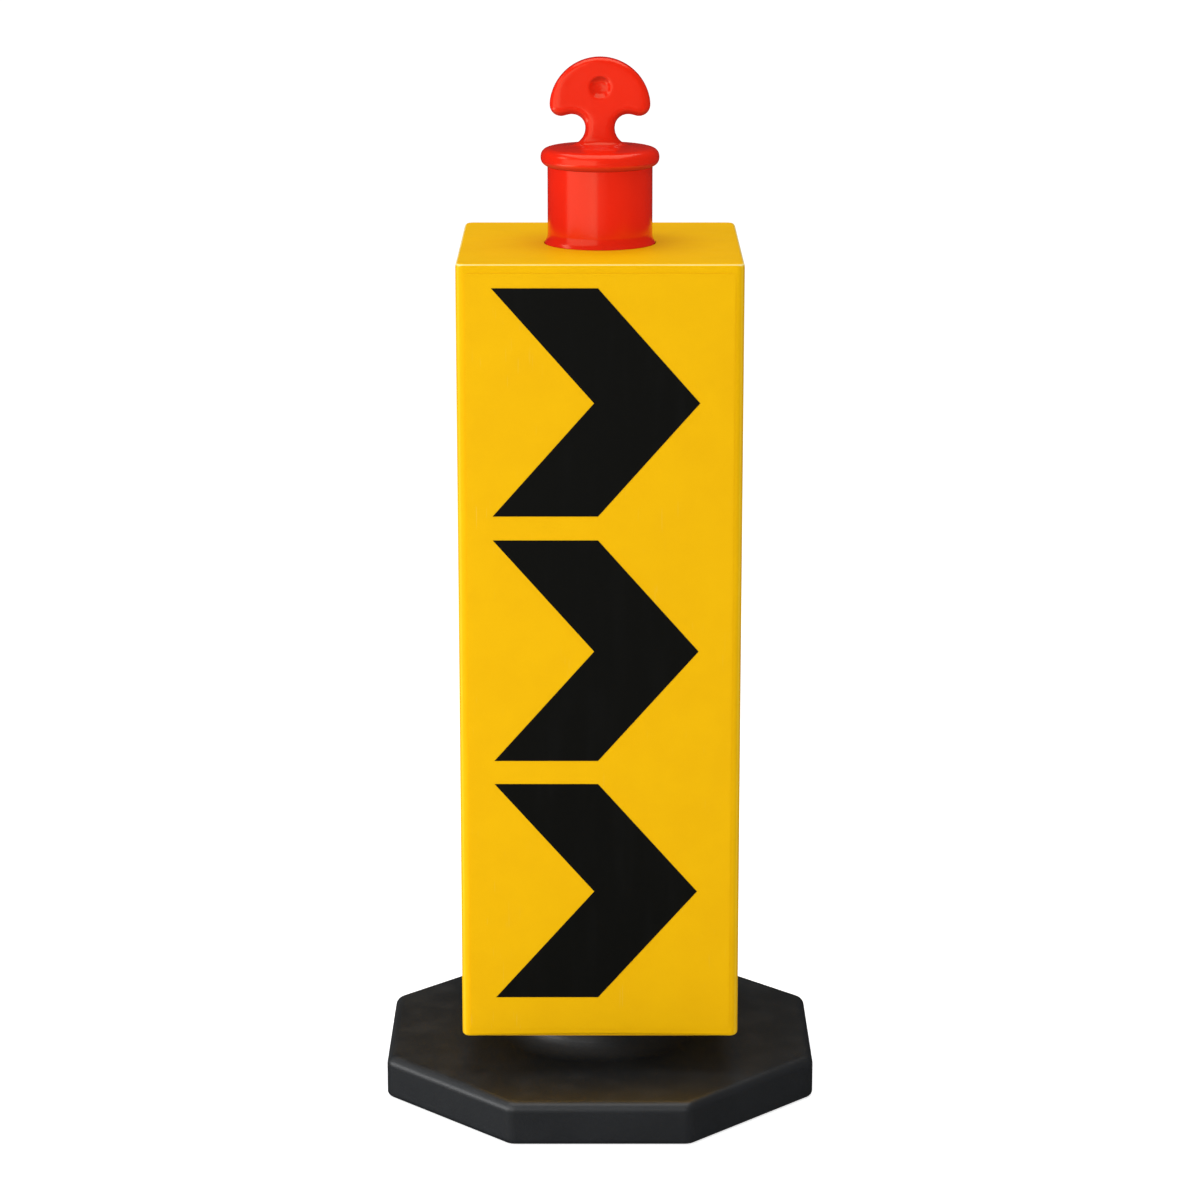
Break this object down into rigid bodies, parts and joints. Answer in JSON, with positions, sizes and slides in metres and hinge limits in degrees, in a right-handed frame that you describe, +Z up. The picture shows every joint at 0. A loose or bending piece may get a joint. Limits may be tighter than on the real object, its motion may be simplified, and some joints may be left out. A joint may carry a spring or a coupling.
{
  "type": "delineator post",
  "caption": "T-top road bollard standing in a heavy octagonal rubber base, with a turning square marker sleeve that shows chevrons front and back.",
  "frame": {"origin": "on the ground, under the post's axis", "axes": "+Z up along the post, front chevrons facing -Y, +X to their right"},
  "size_m": [0.456, 0.456, 1.1],
  "materials": {
    "base_rubber": "moulded recycled rubber, matt with a fine grain",
    "ring_plastic": "black nylon",
    "screw_steel": "zinc-plated",
    "insert_steel": "plain turned",
    "orange_plastic": "fluorescent orange, satin gloss",
    "orange_cap": "fluorescent orange, gloss",
    "yellow_plastic": "yellow moulding, satin",
    "yellow_floor": "yellow panel, satin",
    "yellow_sheet": "yellow sheeting, smooth",
    "black_film": "black film, smooth"
  },
  "bodies": {
    "base": {"rubber_base": "base_rubber", "lock_ring": "ring_plastic", "lock_ring_screws": "screw_steel", "lock_ring_inserts": "insert_steel"},
    "stem": {"stem_tube": "orange_plastic", "bayonet_foot": "ring_plastic", "t_top": "orange_cap"},
    "guide": {"guide_bush": "ring_plastic"},
    "sleeve": {"sleeve_shell": "yellow_plastic", "sleeve_floor": "yellow_floor", "sleeve_floor_screws": "screw_steel", "front_sheet": "yellow_sheet", "rear_sheet": "yellow_sheet", "chevron_front_lower": "black_film", "chevron_front_middle": "black_film", "chevron_front_upper": "black_film", "chevron_rear_lower": "black_film", "chevron_rear_middle": "black_film", "chevron_rear_upper": "black_film"}
  },
  "joints": [
    {"name": "stem_twist", "type": "hinge", "parent": "base", "child": "stem", "pos_m": [0, 0, 0.02], "axis": [0, 0, 1], "range_deg": [0, 60]},
    {"name": "sleeve_lift", "type": "slide", "parent": "base", "child": "guide", "axis": [0, 0, 1], "range_m": [0, 0.075]},
    {"name": "sleeve_turn", "type": "hinge", "parent": "guide", "child": "sleeve", "pos_m": [0, 0, 0.09], "axis": [0, 0, 1], "continuous": true}
  ]
}
